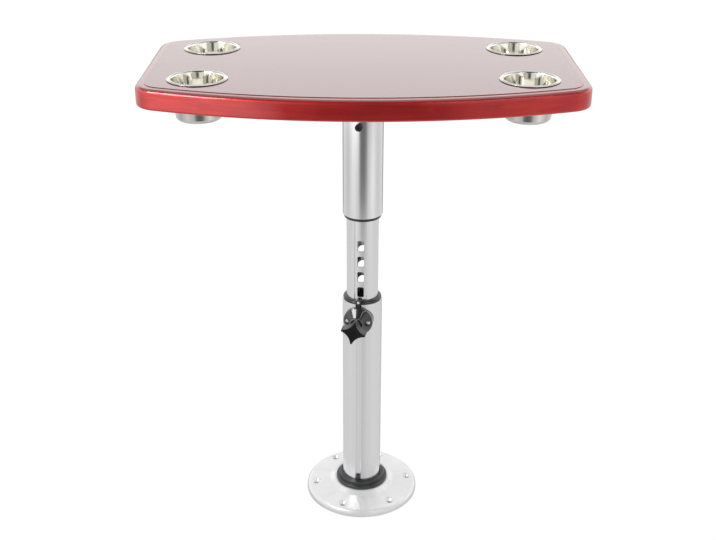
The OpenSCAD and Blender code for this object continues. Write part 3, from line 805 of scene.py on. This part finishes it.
@dataclass
class TopShell:
    """The red shell: bowed long edges, round corners, a raised field and four cup holes."""

    length: float = 597.5 * MM
    width: float = 368 * MM
    thickness: float = 28.5 * MM
    bow_radius: float = 830 * MM
    bow_steps: int = 72
    corner_radius: float = 38 * MM
    corner_steps: int = 20
    field_inset: float = 12 * MM
    field_rise: float = 1 * MM
    field_slope: float = 0.8 * MM
    field_round: float = 0.3 * MM
    ledge_rise: float = 0.2 * MM
    upper_round: float = 6 * MM
    lower_round: float = 3 * MM
    wall: float = 8 * MM
    board: float = 19 * MM
    hole_radius: float = 36.4 * MM
    cup_x: float = 219.7 * MM
    cup_y: float = 83.9 * MM
    cut_margin: float = 5 * MM
    underside: float = field(default_factory=lambda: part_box("table_top")[0].z)

    def outline(self) -> Piece:
        """Draw the edge line with extrusions and spins.

        Returns:
            The outline, in edit mode.
        """
        corner_x = self.length / 2 - self.corner_radius
        bow_y = self.width / 2 - self.bow_radius
        corner_y = bow_y + math.sqrt((self.bow_radius - self.corner_radius) ** 2 - corner_x ** 2)
        corner_sweep = math.degrees(math.atan2(corner_y - bow_y, corner_x))
        z = self.underside
        piece = start_line("top_shell", (self.length / 2, -corner_y, z))
        for side in (1, -1):
            draw_by((0, side * 2 * corner_y, 0))
            draw_arc((side * corner_x, side * corner_y, z), corner_sweep, self.corner_steps)
            draw_arc((0, side * bow_y, z), 180 - 2 * corner_sweep, self.bow_steps)
            draw_arc((-side * corner_x, side * corner_y, z), corner_sweep, self.corner_steps)
        return piece

    def build(self) -> Piece:
        """Pull the outline to a slab, round it, raise the field, hollow it and cut the cup holes.

        Returns:
            The finished shell.
        """
        piece = self.outline()
        ledge = self.underside + self.thickness - self.field_rise
        fill_plate(self.thickness - self.field_rise)
        round_edges(piece, above(ledge), self.upper_round, 10)
        round_edges(piece, below(self.underside), self.lower_round, 5)
        pick(piece, "FACE", above(ledge))
        bpy.ops.mesh.inset(thickness=self.field_inset - self.upper_round, depth=self.ledge_rise)
        bpy.ops.mesh.inset(thickness=self.field_slope, depth=self.field_rise - self.ledge_rise)
        round_edges(piece, above(ledge + self.field_rise), self.field_round, 3)
        pick(piece, "FACE", below(self.underside))
        bpy.ops.mesh.inset(thickness=self.wall - self.lower_round, depth=0)
        raise_faces(self.board)
        bpy.ops.object.mode_set(mode="OBJECT")
        low, high = self.underside - self.cut_margin, ledge + self.cut_margin
        holes = [rod("hole", self.hole_radius, low, high, (x, y), 96)
                 for x in (-self.cup_x, self.cup_x) for y in (-self.cup_y, self.cup_y)]
        combine(piece, holes, Cutting.CUT)
        return polish(piece)


@dataclass
class Cup:
    """A pressed cup with a rolled rim, a slightly tapered wall and a rounded floor."""

    rim_radius: float = 40.7 * MM
    body_radius: float = 35 * MM
    floor_radius: float = 30.8 * MM
    depth: float = 56.5 * MM
    wall: float = 0.9 * MM
    rim: float = 1.3 * MM
    floor_round: float = 6 * MM
    lip: float = 2.6 * MM
    crown: float = 0.6 * MM
    crest_in: float = 2.3 * MM
    crest_round: float = 4 * MM
    brim: float = 1.0 * MM
    brim_round: float = 0.2 * MM

    def build(self, rim_top: float) -> Piece:
        """Turn the cup about the pedestal's axis.

        Args:
            rim_top: Height of the rim's upper face.

        Returns:
            The cup, to be copied to its places.
        """
        floor, seat = rim_top - self.depth, rim_top - self.rim
        section = rounded([
            (0, floor, 0), (self.floor_radius, floor, self.floor_round),
            (self.body_radius, seat, self.lip - self.rim), (self.rim_radius, seat, 0),
            (self.rim_radius, rim_top - self.brim, self.brim_round),
            (self.rim_radius - self.crest_in, rim_top, self.crest_round),
            (self.body_radius - self.wall, rim_top - self.crown, self.lip),
            (self.floor_radius - self.wall, floor + self.wall, self.floor_round - self.wall),
            (0, floor + self.wall, 0)], 8)
        return polish(revolve("cup", section, 128))

    def place_all(self, top: TopShell, wardrobe: Wardrobe) -> None:
        """Copy the cup, each copy with its own mesh, into the four holes.

        Args:
            top: The shell with the holes.
            wardrobe: Where the finish comes from.
        """
        rim_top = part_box("cup_front_left")[1].z
        model = self.build(rim_top)
        for row, y in (("front", -top.cup_y), ("rear", top.cup_y)):
            for side, x in (("left", -top.cup_x), ("right", top.cup_x)):
                activate(model)
                bpy.ops.object.duplicate(linked=False)
                piece = place(bpy.context.object, Matrix.Translation((x, y, 0)))
                piece.name = piece.data.name = f"steel_cup_{row}_{side}"
                wardrobe.hand_over(piece, "pressed_steel", Body.TABLE, f"cup_{row}_{side}")
                # The outer wall below the rim gets the darker steel: painted shade under the table top.
                wardrobe.dress_part(piece, "outer_steel_painted_shade", lambda face: face.center.z < rim_top - 2 * self.rim
                                    and face.normal.dot(face.center - Vector((x, y, face.center.z))) > 0)
                # The rim's top gets the darker steel: painted shade.
                wardrobe.dress_part(piece, "rim_steel_painted_shade", lambda face: face.center.z > rim_top - self.rim
                                    and face.normal.z > 0.7)
        bpy.data.objects.remove(model)


# --- latch


@dataclass
class Latch:
    """The saddle on the post, its two screws and the four-lobed knob in front of it."""

    turn: float = -11.5
    height: float = 318.5 * MM
    rise: float = 1.5 * MM
    saddle_radius: float = 22.2 * MM
    saddle_back: float = 18.15 * MM
    saddle_reach: float = 33.5 * MM
    saddle_slant: float = 1.4 * MM
    saddle_round: float = 1.2 * MM
    flare_round: float = 2 * MM
    boss_reach: float = 46.5 * MM
    boss_radius: float = 10 * MM
    boss_height: float = 2.5 * MM
    post_radius: float = 30.25 * MM
    post_reach: float = 40 * MM
    nut_radius: float = 7.5 * MM
    nut_back: float = 22 * MM
    nut_bore: float = 60 * MM
    pocket_radius: float = 4.1 * MM
    pocket_depth: float = 15 * MM
    notch_low: Point3 = (-3.2 * MM, -31.85 * MM, 16.1 * MM)
    notch_high: Point3 = (3.2 * MM, -24 * MM, 38.5 * MM)
    screw_gap: float = 32 * MM
    screw_tip: float = 21.35 * MM
    screw_turn: float = 20.0
    screw_radius: float = 1.9 * MM
    screw_point: Sequence[Point3] = ((0, 0, 0), (1.2 * MM, 0, 0), (1.9 * MM, 1.2 * MM, 0.2 * MM))
    screw_head: Sequence[Point3] = ((3.5 * MM, 0, 0), (3.5 * MM, 1.1 * MM, 0),
                                    (2.6 * MM, 2.3 * MM, 1.0 * MM), (0, 2.4 * MM, 0))
    cross_arm: Point2 = (2.2 * MM, 0.45 * MM)
    cross_floor: float = 1.2 * MM
    cross_top: float = 4 * MM
    knob_radius: float = 18.7 * MM
    knob_waist: float = 10.5 * MM
    knob_face: float = 71 * MM
    knob_depth: float = 15 * MM
    knob_turn: float = -10.0
    front_round: float = 1.1 * MM
    back_round: float = 0.8 * MM
    scoop_radius: float = 22 * MM
    hub_radius: float = 8 * MM
    hub_back: float = 51.5 * MM
    hub_overlap: float = 2 * MM
    spindle_radius: float = 5.1 * MM
    spindle_end: float = 4.1 * MM

    def saddle(self) -> Piece:
        """Turn the flared dome, fit it to the post and drill it.

        Returns:
            The finished saddle.
        """
        middle = self.height + self.rise
        depth, step = self.boss_reach - self.saddle_back, self.saddle_reach - self.saddle_back
        section = rounded([
            (0, 0, 0), (self.saddle_radius, 0, 0), (self.saddle_radius, step, 0),
            (self.saddle_radius - self.saddle_slant, step + self.saddle_slant, self.saddle_round),
            (self.boss_radius, depth - self.boss_height, self.flare_round),
            (self.boss_radius, depth, self.saddle_round),
            (0, depth, 0)], 8)
        piece = place(revolve("latch_saddle", section, 96), outward(self.turn, self.saddle_back, middle))
        post = rod("post_cut", self.post_radius, self.height - self.post_reach,
                   self.height + self.post_reach, sides=128)
        bore = place(rod("bore_cut", self.nut_radius, 0, self.nut_bore),
                     outward(self.turn, self.nut_back, self.height))
        pockets = [place(rod("pocket_cut", self.pocket_radius, self.saddle_reach,
                             self.saddle_reach + self.pocket_depth, (side * self.screw_gap / 2, 0), 40),
                         outward(self.turn, 0, middle)) for side in (-1, 1)]
        notch = place(block("notch_cut", self.notch_low, self.notch_high),
                      turned(self.turn) @ Matrix.Translation((0, 0, middle)))
        combine(piece, [post, bore, *pockets, notch], Cutting.CUT)
        return polish(piece, 0.3 * MM, 35)

    def knob(self) -> Piece:
        """Draw the star with spins, pull it to its depth, round it and add its hub.

        Returns:
            The finished knob.
        """
        scoop_at, slant = self.knob_waist + self.scoop_radius, math.sqrt(2)
        spare = (self.knob_radius ** 2 + scoop_at ** 2 - slant * scoop_at * self.knob_radius
                 - self.scoop_radius ** 2)
        tip = spare / (2 * (self.knob_radius + self.scoop_radius) - slant * scoop_at)
        tip_at = self.knob_radius - tip
        meet = math.atan2(scoop_at / slant, scoop_at / slant - tip_at)
        tip_sweep = 2 * math.degrees(meet)
        piece = start_line("star_grip", (tip_at + tip * math.cos(meet), -tip * math.sin(meet), 0))
        for quarter in range(4):
            lobe, scoop = (turned(90 * quarter + turn) for turn in (0, 45))
            draw_arc(lobe @ Vector((tip_at, 0, 0)), tip_sweep, 12)
            draw_arc(scoop @ Vector((scoop_at, 0, 0)), 90 - tip_sweep, 18)
        fill_plate(self.knob_depth)
        round_edges(piece, above(self.knob_depth), self.front_round, 4)
        round_edges(piece, below(0), self.back_round, 3)
        bpy.ops.object.mode_set(mode="OBJECT")
        back = self.knob_face - self.knob_depth
        combine(piece, [rod("hub", self.hub_radius, self.hub_back - back, self.hub_overlap)], Cutting.ADD)
        bore = rod("bore_cut", self.spindle_radius, self.hub_back - back - MM, self.spindle_end, sides=48)
        combine(piece, [bore], Cutting.CUT)
        place(piece, outward(self.turn, back, self.height, self.knob_turn))
        return polish(piece, angle=32)

    def screws(self) -> Piece:
        """Turn a pan-head screw with a cross recess on each side of the saddle.

        Returns:
            Both screws, as one piece.
        """
        shank = self.saddle_reach - self.screw_tip
        head = [(radius, shank + height, blunt) for radius, height, blunt in self.screw_head]
        section = rounded([*self.screw_point, (self.screw_radius, shank, 0), *head], 5)
        made = []
        for side in (-1, 1):
            piece = revolve("saddle_screws", section, 40)
            bars = [block("cross", (-a, -b, shank + self.cross_floor), (a, b, shank + self.cross_top))
                    for a, b in (self.cross_arm, self.cross_arm[::-1])]
            combine(piece, bars, Cutting.CUT)
            place(piece, outward(self.turn, self.screw_tip, self.height + self.rise)
                  @ Matrix.Translation((side * self.screw_gap / 2, 0, 0)) @ turned(side * self.screw_turn))
            made.append(polish(piece, 0.08 * MM))
        for piece in made:
            piece.select_set(True)
        bpy.context.view_layer.objects.active = made[0]
        bpy.ops.object.join()
        return made[0]

    def build(self, wardrobe: Wardrobe) -> None:
        """Build and dress the latch's pieces.

        Args:
            wardrobe: Where the finishes come from.
        """
        wardrobe.hand_over(self.saddle(), "gloss_black", Body.PEDESTAL, "latch_housing")
        wardrobe.hand_over(self.screws(), "screw_steel_painted_light", Body.PEDESTAL, "latch_screws")
        knob = self.knob()
        wardrobe.hand_over(knob, "grained_black", Body.KNOB, "star_knob")
        ahead = outward(self.turn, 0, 0).to_3x3() @ Vector((0, 0, 1))
        wardrobe.dress_part(knob, "matt_black", lambda face: face.normal.dot(ahead) > 0.9)


# --- foot


@dataclass
class Foot:
    """The turned flange and the black ring round the post."""

    radius: float = 89 * MM
    edge_height: float = 10.3 * MM
    edge_round: float = 7.5 * MM
    chamfer: float = 0.4 * MM
    slope_steps: Sequence[float] = tuple(reach * MM for reach in range(10, 36, 5))
    crease_radius: float = 51.5 * MM
    crease_height: float = 14 * MM
    crease_round: float = 6 * MM
    hub_height: float = 18 * MM
    hub_radius: float = 43.5 * MM
    hub_round: float = 1.6 * MM
    bore: float = 33.15 * MM
    recess_radius: float = 44.1 * MM
    recess: float = 4.4 * MM
    hole_circle: float = 74 * MM
    hole_radius: float = 3.6 * MM
    hole_count: int = 6
    hole_turn: float = 6.0
    sink_radius: float = 6.8 * MM
    sink_height: float = 7.8 * MM
    sink_reach: float = 30 * MM
    ring_bore: float = 30.25 * MM
    ring_low: float = 41 * MM
    ring_high: float = 36.5 * MM
    ring_height: float = 11 * MM
    ring_gap: float = 0.1 * MM
    ring_rounds: Sequence[float] = (2.4 * MM, 0.6 * MM, 3 * MM, 0.5 * MM)
    key_width: float = 4.8 * MM
    key_inner: float = 28.05 * MM
    key_outer: float = 30.65 * MM
    key_start: float = 2 * MM
    key_rise: float = 10 * MM
    post_foot: float = 4.3 * MM
    turn: float = -11.5

    def flange(self) -> Piece:
        """Turn the flange and sink its holes.

        Returns:
            The finished flange.
        """
        top, high = self.hub_height, self.sink_reach
        fall = (self.crease_height - self.edge_height) / (self.radius - self.crease_radius)
        slope = [(self.radius - reach, self.edge_height + reach * fall, 0) for reach in self.slope_steps]
        section = rounded([
            (self.bore, self.recess, 0), (self.recess_radius, self.recess, 0), (self.recess_radius, 0, 0),
            (self.radius - self.chamfer, 0, 0), (self.radius, self.chamfer, 0),
            (self.radius, self.edge_height, self.edge_round), *slope,
            (self.crease_radius, self.crease_height, self.crease_round),
            (self.hub_radius, top, self.hub_round), (self.bore, top, 0), (self.bore, self.recess, 0)], 8)[:-1]
        piece = revolve("foot_flange", section, 160)
        sink_top = self.sink_height + self.sink_radius - self.hole_radius
        sink = [(0, -MM), (self.hole_radius, -MM), (self.hole_radius, self.sink_height),
                (self.sink_radius, sink_top), (self.sink_radius, high), (0, high)]
        cuts = [place(revolve("sink", sink, 48), turned(self.hole_turn + i * 360 / self.hole_count)
                      @ Matrix.Translation((self.hole_circle, 0, 0))) for i in range(self.hole_count)]
        combine(piece, cuts, Cutting.CUT)
        return polish(piece, angle=28)

    def ring(self) -> Piece:
        """Turn the stepped ring and add the four keys that rise in the post's grooves.

        Returns:
            The finished ring.
        """
        hub, top = self.hub_height, self.hub_height + self.ring_height
        step, outer = hub + self.ring_height / 2, self.bore - self.ring_gap
        shoulder, inset, brow, mouth = self.ring_rounds
        section = rounded([
            (self.ring_bore, self.post_foot, 0), (outer, self.post_foot, 0), (outer, hub, 0),
            (self.ring_low, hub, 0), (self.ring_low, step, shoulder), (self.ring_high, step, inset),
            (self.ring_high, top, brow), (self.ring_bore, top, mouth),
            (self.ring_bore, self.post_foot, 0)], 6)[:-1]
        piece = revolve("foot_ring", section, 128)
        low = (-self.key_width / 2, -self.key_outer, self.post_foot + self.key_start)
        high = (self.key_width / 2, -self.key_inner, top + self.key_rise)
        keys = [place(block("key", low, high), turned(self.turn + 90 * i)) for i in range(4)]
        combine(piece, keys, Cutting.ADD)
        return polish(piece, 0.25 * MM, 35)

    def build(self, wardrobe: Wardrobe) -> None:
        """Build and dress the foot's two pieces."""
        wardrobe.hand_over(self.flange(), "turned_aluminium", Body.PEDESTAL, "base_flange")
        wardrobe.hand_over(self.ring(), "satin_nylon", Body.PEDESTAL, "base_bushing")


# --- nodes that stay as they are

KEPT_NODES = {
    "anodised_tube": ("foot_plate", "lower_post", "mast", "top_bracket"),
    "polished_tube": ("upper_sleeve",),
    "screw_steel": ("foot_screws", "locking_pin", "latch_spindle", "foot_guide_screws", "bracket_screws"),
    "screw_steel_painted_light": ("collar_rivet",),
    "black_screw": ("swivel_screw", "socket_grub_screws"),
    "brass": ("latch_nut",),
    "satin_nylon": ("collar_guide", "mast_foot_guide", "mast_head", "lower_sleeve_bushing",
                    "upper_sleeve_bushing"),
    "natural_nylon": ("thrust_washer",),
    "soft_rubber": ("foot_bumper", "cup_gaskets"),
    "plywood": ("core_board",),
}


# --- studio


@dataclass(frozen=True)
class Panel:
    """A soft panel lamp that the camera doesn't see; a radiance of 1 is white."""

    name: str
    spot: Point3
    aim: Point3
    size: Point2
    radiance: float
    in_gloss: bool = True
    on_matt: bool = True

    def add(self) -> None:
        """Put the lamp in the scene and turn it to its aim."""
        data = bpy.data.lights.new(self.name, "AREA")
        data.shape = "RECTANGLE"
        data.size, data.size_y = self.size
        data.energy = self.radiance * math.pi * self.size[0] * self.size[1]
        lamp = bpy.data.objects.new(self.name, data)
        bpy.context.scene.collection.objects.link(lamp)
        lamp.location = self.spot
        lamp.rotation_euler = (Vector(self.aim) - Vector(self.spot)).to_track_quat("-Z", "Y").to_euler()
        lamp.visible_camera = False
        lamp.visible_diffuse = self.on_matt
        lamp.visible_glossy = self.in_gloss


PANELS = (
    Panel("softbox", (-0.99, -0.70, 1.40), (0, -0.035, 0.33), (0.73, 0.45), 12.0, on_matt=False),
    Panel("front_fill", (0, -2.0, 1.0), (0, 0, 0.2), (1.8, 1.2), 1.6, in_gloss=False),
    Panel("right_strip", (0.95, -1.35, 1.95), (0, 0, 0.7), (1.1, 0.10), 5.0),
)


@dataclass
class Studio:
    """Floor, backdrop, lamps and camera.

    A Step holds the two ends of a range and the values there. The room's steps take a part of the
    direction, the floor's the distance from the pedestal in metres. The floor's tables give its
    brightness in reflections by degrees from straight in front.
    """

    camera_spot: Point3 = (-0.00675, -1.5315, 1.10155)
    pitch: float = 24.92
    roll: float = 0.153
    lens: float = 56.35
    fill: float = 0.85
    room_left: Step = (-0.50, -0.12, 1.15, 0.14)
    room_right: Step = (0.16, 0.50, 0.0, 0.66)
    room_height: Step = (0.40, 0.62, 1.0, 0.3)
    wall_starts: Step = (-0.20, 0.12, 0.0, 1.0)
    wall_foot: Step = (0.08, 0.16, 0.15, 1.7)
    wall_aside: Step = (0.20, 0.34, 0.0, 1.0)
    wall_height: Step = (0.38, 0.52, 1.0, 0.48)
    wall_top: Step = (0.62, 0.78, 0.0, 0.45)
    floor_reach: float = 5.0
    floor_drop: float = 0.2 * MM
    floor_seen: float = 0.92
    floor_white: float = 0.12
    to_middle: Step = (1.12, 1.3, 0.0, 1.0)
    to_far: Step = (1.9, 2.25, 0.0, 1.0)
    near_floor: Sequence[Point2] = ((-180, 0.60), (-60, 0.64), (-25, 0.60), (0, 0.50), (25, 0.60), (60, 0.66),
                                    (180, 0.60))
    middle_floor: Sequence[Point2] = ((-180, 0.10), (-158, 0.10), (-135, 0.68), (-90, 0.46), (-55, 0.74),
                                      (-24, 0.46), (-17, 0.14), (-10, 0.02), (0, 0.0), (10, 0.02), (19, 0.14),
                                      (28, 0.46), (55, 0.88), (90, 0.52), (135, 0.70), (158, 0.10),
                                      (180, 0.10))
    far_floor: Sequence[Point2] = ((-180, 0.10), (-158, 0.10), (-135, 0.80), (-90, 0.80), (-60, 1.35),
                                   (-40, 1.60), (-28, 1.45), (-22, 0.80), (-18, 0.06), (-8, 0.0), (9, 0.0),
                                   (18, 0.03), (24, 0.22), (30, 0.34), (37, 0.38), (47, 0.40), (60, 0.60),
                                   (90, 0.64), (135, 0.76), (158, 0.10), (180, 0.10))

    def set_camera(self) -> None:
        """Add the camera and make it the scene's own."""
        data = bpy.data.cameras.new("camera")
        data.lens = self.lens
        data.sensor_width = 36.0
        data.sensor_fit = "HORIZONTAL"
        data.clip_start = 0.05
        camera = bpy.data.objects.new("camera", data)
        bpy.context.scene.collection.objects.link(camera)
        tilt = Matrix.Rotation(math.radians(90 - self.pitch), 4, "X")
        camera.matrix_world = Matrix.Translation(self.camera_spot) @ tilt @ turned(self.roll)
        bpy.context.scene.camera = camera

    def room(self, board: NodeBoard) -> Socket:
        """Work out how bright the room is in reflections, by direction.

        Args:
            board: Where the nodes go.

        Returns:
            The brightness: dim panels in front, and behind a wall that is dark at its foot's middle.
        """
        x, y, z = board.parts(board.add("TexCoord").outputs["Generated"])
        across = board.math("ADD", board.spread(x, *self.room_left), board.spread(x, *self.room_right))
        front = board.times(across, board.spread(z, *self.room_height))
        aside = board.spread(board.math("ABSOLUTE", x), *self.wall_aside)
        foot = board.math("MAXIMUM", board.spread(z, *self.wall_foot), aside)
        wall = board.math("ADD", board.times(foot, board.spread(z, *self.wall_height)),
                          board.spread(z, *self.wall_top))
        return board.mix(board.spread(y, *self.wall_starts), front, wall)

    def set_world(self) -> None:
        """White to the camera, the room to gloss, and a plain fill to the rest."""
        world = bpy.data.worlds.new("studio")
        bpy.context.scene.world = world
        world.use_nodes = True
        board = NodeBoard(world.node_tree)
        seen, mirrored = board.rays()
        light = board.mix(mirrored, self.fill, self.room(board))
        strength = board.mix(seen, light, 1.0)
        glow = board.add("Background", Color=(1, 1, 1), Strength=strength)
        board.add("OutputWorld", Surface=glow.outputs["Background"])

    @staticmethod
    def dial(board: NodeBoard, turn: Socket, stops: Sequence[Point2]) -> Socket:
        """Turn a direction into a brightness.

        Args:
            board: Where the nodes go.
            turn: The direction, 0 to 1 for a whole turn that starts straight behind.
            stops: Degrees from the front and the brightness there.

        Returns:
            The brightness.
        """
        ramp = board.add("ValToRGB", Fac=turn)
        elements = ramp.color_ramp.elements
        for i, (degrees, level) in enumerate(stops):
            at = degrees / 360 + 0.5
            element = elements[i] if i < 2 else elements.new(at)
            element.position = at
            element.color = (level / 2, level / 2, level / 2, 1)
        return board.times(board.add("SeparateColor", Color=ramp.outputs["Color"]).outputs[0], 2.0)

    def floor_glow(self, board: NodeBoard) -> Socket:
        """Work out how bright the floor is in reflections, by direction and distance from the pedestal.

        Args:
            board: Where the nodes go.

        Returns:
            The brightness.
        """
        spot = board.spot()
        x, y, _ = board.parts(spot)
        around = board.math("ARCTAN2", x, board.times(y, -1.0))
        turn = board.math("ADD", board.math("DIVIDE", around, 2 * math.pi), 0.5)
        distance = board.add("VectorMath", {"operation": "LENGTH"}, i_0=spot).outputs["Value"]
        near, middle, far = (self.dial(board, turn, stops)
                             for stops in (self.near_floor, self.middle_floor, self.far_floor))
        inner = board.mix(board.spread(distance, *self.to_middle), near, middle)
        return board.mix(board.spread(distance, *self.to_far), inner, far)

    def set_floor(self) -> None:
        """Add the pale floor, which keeps a faint shadow and is darker in front of the pedestal to gloss."""
        clear()
        bpy.ops.mesh.primitive_plane_add(size=2 * self.floor_reach, location=(0, 0, -self.floor_drop))
        floor = settle("floor")
        material = bpy.data.materials.new("studio_floor")
        material.use_nodes = True
        board = NodeBoard(material.node_tree)
        matt = board.add("BsdfDiffuse", Color=(self.floor_white,) * 3)
        seen, mirrored = board.rays()
        strength = board.math("ADD", board.times(seen, self.floor_seen),
                              board.times(mirrored, self.floor_glow(board)))
        glow = board.add("Emission", Color=(1, 1, 1), Strength=strength)
        both = board.add("AddShader", i_0=matt.outputs[0], i_1=glow.outputs[0])
        board.add("OutputMaterial", Surface=both.outputs[0])
        floor.data.materials.append(material)

    def build(self) -> None:
        """Set up the whole studio."""
        self.set_camera()
        self.set_world()
        self.set_floor()
        for panel in PANELS:
            panel.add()
        scene = bpy.context.scene
        scene.view_settings.view_transform = "Standard"
        scene.cycles.max_bounces = 16
        scene.cycles.glossy_bounces = 12


# --- main


def main() -> None:
    """Build the studio and every piece in order."""
    Studio().build()
    wardrobe = Wardrobe()
    top = TopShell()
    wardrobe.hand_over(top.build(), "red_gloss", Body.TABLE, "table_top")
    Cup().place_all(top, wardrobe)
    Latch().build(wardrobe)
    Foot().build(wardrobe)
    for finish, nodes in KEPT_NODES.items():
        for node in nodes:
            wardrobe.dress(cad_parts[node], finish)
            LOG.info("%s: kept, %s", node, finish)


if __name__ == "__main__":
    main()
